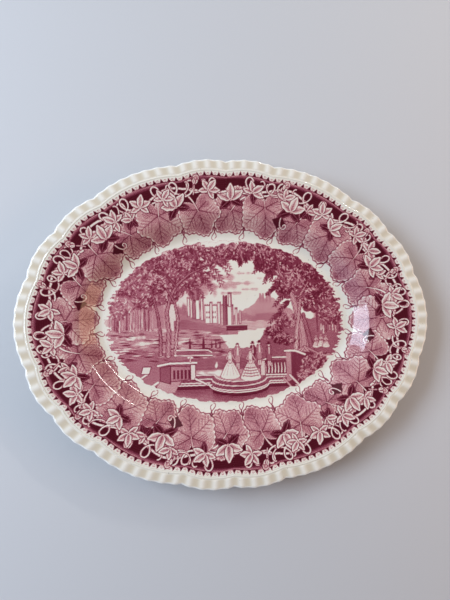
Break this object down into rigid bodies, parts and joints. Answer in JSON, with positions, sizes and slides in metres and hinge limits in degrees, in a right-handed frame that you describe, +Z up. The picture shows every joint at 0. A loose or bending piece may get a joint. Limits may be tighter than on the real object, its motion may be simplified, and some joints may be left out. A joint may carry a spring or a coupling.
{
  "type": "serving platter",
  "caption": "Oval transfer-printed earthenware serving platter with a lobed, ribbed edge, a shallow well and a foot ring.",
  "frame": {"origin": "centre of the oval on the plane that the foot ring rests on", "axes": "+X along the platter's length, towards the right of its picture; +Y along its width, towards the top of its picture; +Z up, out of the well"},
  "size_m": [0.3872, 0.3064, 0.032],
  "materials": {
    "glazed_earthenware": "clear gloss glaze over cream clay",
    "border_transfer": "dark red border print under clear gloss glaze",
    "picture_transfer": "rose-red engraved picture under clear gloss glaze"
  },
  "bodies": {
    "root": {"platter_body": "glazed_earthenware", "border_print_left": "border_transfer", "border_print_right": "border_transfer", "centre_print": "picture_transfer"}
  },
  "joints": []
}
